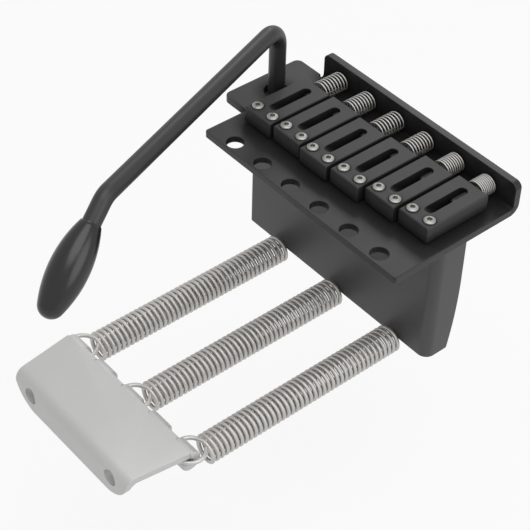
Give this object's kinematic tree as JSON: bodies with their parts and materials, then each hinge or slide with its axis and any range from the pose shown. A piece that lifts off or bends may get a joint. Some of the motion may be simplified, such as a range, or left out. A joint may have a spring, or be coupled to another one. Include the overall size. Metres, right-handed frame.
{
  "type": "guitar tremolo bridge",
  "caption": "Tremolo bridge for an electric guitar: rocking base plate with sliding saddles, a block pulled by coil springs from a claw, and a swinging arm.",
  "frame": {"origin": "top face of the base plate, midway along the row of pivot holes", "axes": "+Y from the neck side to the tail side, +Z away from the guitar's body, the arm at -X"},
  "size_m": [0.0783, 0.1137, 0.0714],
  "materials": {
    "black_plate": "satin black finish",
    "black_block": "satin black finish",
    "black_saddles": "satin black finish",
    "black_screws": "black finish",
    "nickel_screws": "bright nickel",
    "saddle_springs": "bright nickel wire",
    "nickel_springs": "nickel plated wire",
    "black_arm": "satin black finish",
    "tip_plastic": "black plastic, half gloss",
    "claw_zinc": "satin zinc plate"
  },
  "bodies": {
    "claw": {"spring_claw": "claw_zinc", "tremolo_spring_1": "nickel_springs", "tremolo_spring_2": "nickel_springs", "tremolo_spring_3": "nickel_springs"},
    "bridge": {"base_plate": "black_plate", "tremolo_block": "black_block", "block_screws": "black_screws"},
    "arm": {"tremolo_arm": "black_arm", "arm_tip": "tip_plastic"},
    "screw_1": {"intonation_screw_1": "black_screws", "intonation_spring_1": "saddle_springs"},
    "saddle_1": {"saddle_1": "black_saddles"},
    "height_screws_1": {"height_screws_1": "nickel_screws"},
    "screw_2": {"intonation_screw_2": "black_screws", "intonation_spring_2": "saddle_springs"},
    "saddle_2": {"saddle_2": "black_saddles"},
    "height_screws_2": {"height_screws_2": "nickel_screws"},
    "screw_3": {"intonation_screw_3": "black_screws", "intonation_spring_3": "saddle_springs"},
    "saddle_3": {"saddle_3": "black_saddles"},
    "height_screws_3": {"height_screws_3": "nickel_screws"},
    "screw_4": {"intonation_screw_4": "black_screws", "intonation_spring_4": "saddle_springs"},
    "saddle_4": {"saddle_4": "black_saddles"},
    "height_screws_4": {"height_screws_4": "nickel_screws"},
    "screw_5": {"intonation_screw_5": "black_screws", "intonation_spring_5": "saddle_springs"},
    "saddle_5": {"saddle_5": "black_saddles"},
    "height_screws_5": {"height_screws_5": "nickel_screws"},
    "screw_6": {"intonation_screw_6": "black_screws", "intonation_spring_6": "saddle_springs"},
    "saddle_6": {"saddle_6": "black_saddles"},
    "height_screws_6": {"height_screws_6": "nickel_screws"}
  },
  "joints": [
    {"name": "bridge_rock", "type": "hinge", "parent": "claw", "child": "bridge", "pos_m": [0, 0, -0.002], "axis": [1, 0, 0], "range_deg": [-3, 12], "stiffness_Nm_per_rad": 13, "deforming": ["tremolo_spring_1", "tremolo_spring_2", "tremolo_spring_3"]},
    {"name": "arm_swing", "type": "hinge", "parent": "bridge", "child": "arm", "pos_m": [-0.03643, 0.02195, 0], "axis": [0, 0, 1], "continuous": true},
    {"name": "saddle_lift_1", "type": "hinge", "parent": "bridge", "child": "screw_1", "pos_m": [-0.02625, 0.0367, 0.0029], "axis": [-1, 0, 0], "range_deg": [-1, 4]},
    {"name": "intonation_1", "type": "slide", "parent": "screw_1", "child": "saddle_1", "axis": [0, -1, 0], "range_m": [-0.003, 0.002], "deforming": ["intonation_spring_1"]},
    {"name": "height_adjust_1", "type": "slide", "parent": "saddle_1", "child": "height_screws_1", "axis": [0, 0, -1], "range_m": [-0.0005, 0.002]},
    {"name": "saddle_lift_2", "type": "hinge", "parent": "bridge", "child": "screw_2", "pos_m": [-0.01575, 0.0367, 0.0029], "axis": [-1, 0, 0], "range_deg": [-1, 4]},
    {"name": "intonation_2", "type": "slide", "parent": "screw_2", "child": "saddle_2", "axis": [0, -1, 0], "range_m": [-0.003, 0.0025], "deforming": ["intonation_spring_2"]},
    {"name": "height_adjust_2", "type": "slide", "parent": "saddle_2", "child": "height_screws_2", "axis": [0, 0, -1], "range_m": [-0.0005, 0.002]},
    {"name": "saddle_lift_3", "type": "hinge", "parent": "bridge", "child": "screw_3", "pos_m": [-0.00525, 0.0367, 0.0029], "axis": [-1, 0, 0], "range_deg": [-1, 4]},
    {"name": "intonation_3", "type": "slide", "parent": "screw_3", "child": "saddle_3", "axis": [0, -1, 0], "range_m": [-0.003, 0.002], "deforming": ["intonation_spring_3"]},
    {"name": "height_adjust_3", "type": "slide", "parent": "saddle_3", "child": "height_screws_3", "axis": [0, 0, -1], "range_m": [-0.0005, 0.002]},
    {"name": "saddle_lift_4", "type": "hinge", "parent": "bridge", "child": "screw_4", "pos_m": [0.00525, 0.0367, 0.0029], "axis": [-1, 0, 0], "range_deg": [-1, 4]},
    {"name": "intonation_4", "type": "slide", "parent": "screw_4", "child": "saddle_4", "axis": [0, -1, 0], "range_m": [-0.003, 0.0025], "deforming": ["intonation_spring_4"]},
    {"name": "height_adjust_4", "type": "slide", "parent": "saddle_4", "child": "height_screws_4", "axis": [0, 0, -1], "range_m": [-0.0005, 0.002]},
    {"name": "saddle_lift_5", "type": "hinge", "parent": "bridge", "child": "screw_5", "pos_m": [0.01575, 0.0367, 0.0029], "axis": [-1, 0, 0], "range_deg": [-1, 4]},
    {"name": "intonation_5", "type": "slide", "parent": "screw_5", "child": "saddle_5", "axis": [0, -1, 0], "range_m": [-0.0015, 0.004], "deforming": ["intonation_spring_5"]},
    {"name": "height_adjust_5", "type": "slide", "parent": "saddle_5", "child": "height_screws_5", "axis": [0, 0, -1], "range_m": [-0.0005, 0.002]},
    {"name": "saddle_lift_6", "type": "hinge", "parent": "bridge", "child": "screw_6", "pos_m": [0.02625, 0.0367, 0.0029], "axis": [-1, 0, 0], "range_deg": [-1, 4]},
    {"name": "intonation_6", "type": "slide", "parent": "screw_6", "child": "saddle_6", "axis": [0, -1, 0], "range_m": [-0.0006, 0.005], "deforming": ["intonation_spring_6"]},
    {"name": "height_adjust_6", "type": "slide", "parent": "saddle_6", "child": "height_screws_6", "axis": [0, 0, -1], "range_m": [-0.0005, 0.002]}
  ],
  "couplings": [
    {"joint": "height_adjust_1", "follows": "saddle_lift_1", "m_per_rad": 0.0272},
    {"joint": "height_adjust_2", "follows": "saddle_lift_2", "m_per_rad": 0.02678},
    {"joint": "height_adjust_3", "follows": "saddle_lift_3", "m_per_rad": 0.02733},
    {"joint": "height_adjust_4", "follows": "saddle_lift_4", "m_per_rad": 0.02666},
    {"joint": "height_adjust_5", "follows": "saddle_lift_5", "m_per_rad": 0.02502},
    {"joint": "height_adjust_6", "follows": "saddle_lift_6", "m_per_rad": 0.02401}
  ]
}
